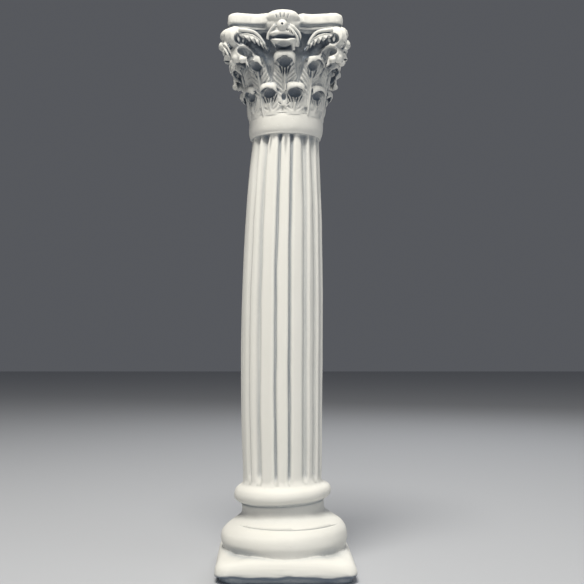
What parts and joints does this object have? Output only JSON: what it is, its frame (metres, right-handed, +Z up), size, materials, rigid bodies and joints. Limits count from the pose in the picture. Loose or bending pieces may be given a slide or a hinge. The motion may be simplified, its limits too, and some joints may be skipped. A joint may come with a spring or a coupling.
{
  "type": "plaster column",
  "caption": "Small cast plaster column: square plinth, turned base, fluted shaft with a swelling, ring and leafy capital with a flat top.",
  "frame": {"origin": "centre of the plinth's underside, the face that the column stands on", "axes": "+Z up along the shaft, -Y to the front that the picture shows, +X to the viewer's right"},
  "size_m": [0.07, 0.07, 0.278],
  "materials": {
    "plaster": "matt cast plaster, warm white, unpainted"
  },
  "bodies": {
    "root": {"plaster_column": "plaster"}
  },
  "joints": []
}
